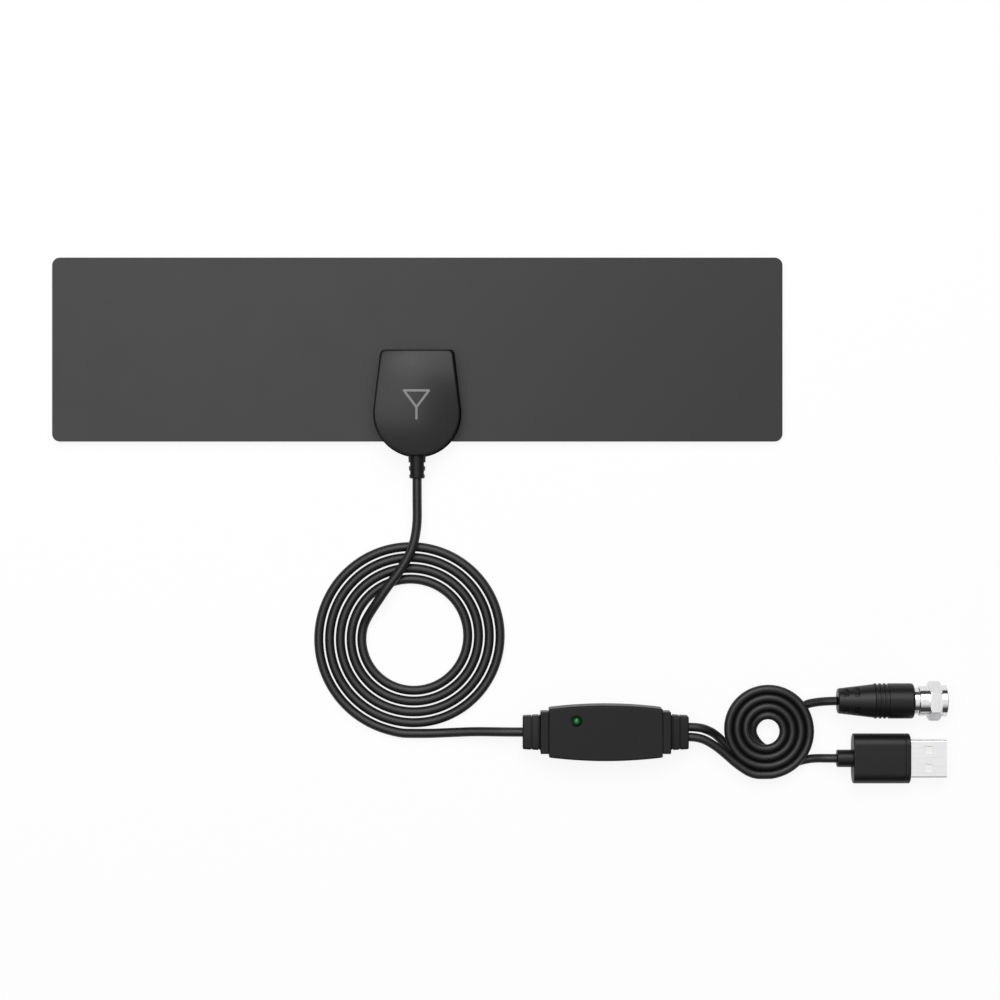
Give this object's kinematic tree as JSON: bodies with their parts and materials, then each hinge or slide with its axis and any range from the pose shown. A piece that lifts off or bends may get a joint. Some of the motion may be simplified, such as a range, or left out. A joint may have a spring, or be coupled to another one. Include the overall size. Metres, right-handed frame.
{
  "type": "flat indoor tv antenna with in-line amplifier",
  "caption": "Thin flat indoor TV antenna panel with a junction housing, a coiled coax lead, an in-line amplifier, and tails ending in an F plug and a USB power plug.",
  "frame": {"origin": "on the back face of the housing's rear cover, under the centre of the round lower end", "axes": "+X along the panel's length, +Y to the panel's upper edge, +Z out of the panel's front"},
  "size_m": [0.2872, 0.169, 0.0113],
  "materials": {
    "panel_plastic": "fine matte sheet",
    "foil": "bright foil",
    "housing_plastic": "satin moulding",
    "circuit_board": "solder mask",
    "ferrite": "sintered",
    "rivet_brass": "bright",
    "gland_rubber": "matte moulding",
    "cord_jacket": "satin jacket",
    "amplifier_plastic": "satin moulding",
    "component_black": "moulded",
    "led_green": "clear green lens",
    "plug_moulding": "satin moulding",
    "nickel_plate": "bright plate",
    "white_dielectric": "plain",
    "copper_pin": "bright copper",
    "plug_steel": "satin plate",
    "contact_gold": "gold flash"
  },
  "bodies": {
    "antenna": {"panel_front_sheet": "panel_plastic", "panel_rear_sheet": "panel_plastic", "dipole_foil_left": "foil", "dipole_foil_right": "foil", "housing_front_cover": "housing_plastic", "housing_rear_cover": "housing_plastic", "matching_board": "circuit_board", "amplifier_board": "circuit_board", "balun_core": "ferrite", "feed_rivets": "rivet_brass", "cord_gland": "gland_rubber", "amplifier_inlet_grip": "gland_rubber", "amplifier_outlet_grip": "gland_rubber", "main_cord_lead_in": "cord_jacket", "main_cord_coil": "cord_jacket", "main_cord_lead_out": "cord_jacket", "coax_tail_lead_in": "cord_jacket", "coax_tail_coil": "cord_jacket", "coax_tail_lead_out": "cord_jacket", "power_tail": "cord_jacket", "amplifier_top_cover": "amplifier_plastic", "amplifier_bottom_cover": "amplifier_plastic", "amplifier_components": "component_black", "status_led": "led_green", "f_plug_boot": "plug_moulding", "usb_overmould": "plug_moulding", "f_plug_post": "nickel_plate", "f_plug_insulator": "white_dielectric", "usb_tongue": "white_dielectric", "f_plug_pin": "copper_pin", "usb_shell": "plug_steel", "usb_contacts": "contact_gold"},
    "coupling_nut": {"f_plug_nut": "nickel_plate"}
  },
  "joints": [
    {"name": "nut_spin", "type": "hinge", "parent": "antenna", "child": "coupling_nut", "pos_m": [0.165, -0.09228, 0.00565], "axis": [1, 0, 0], "continuous": true}
  ]
}
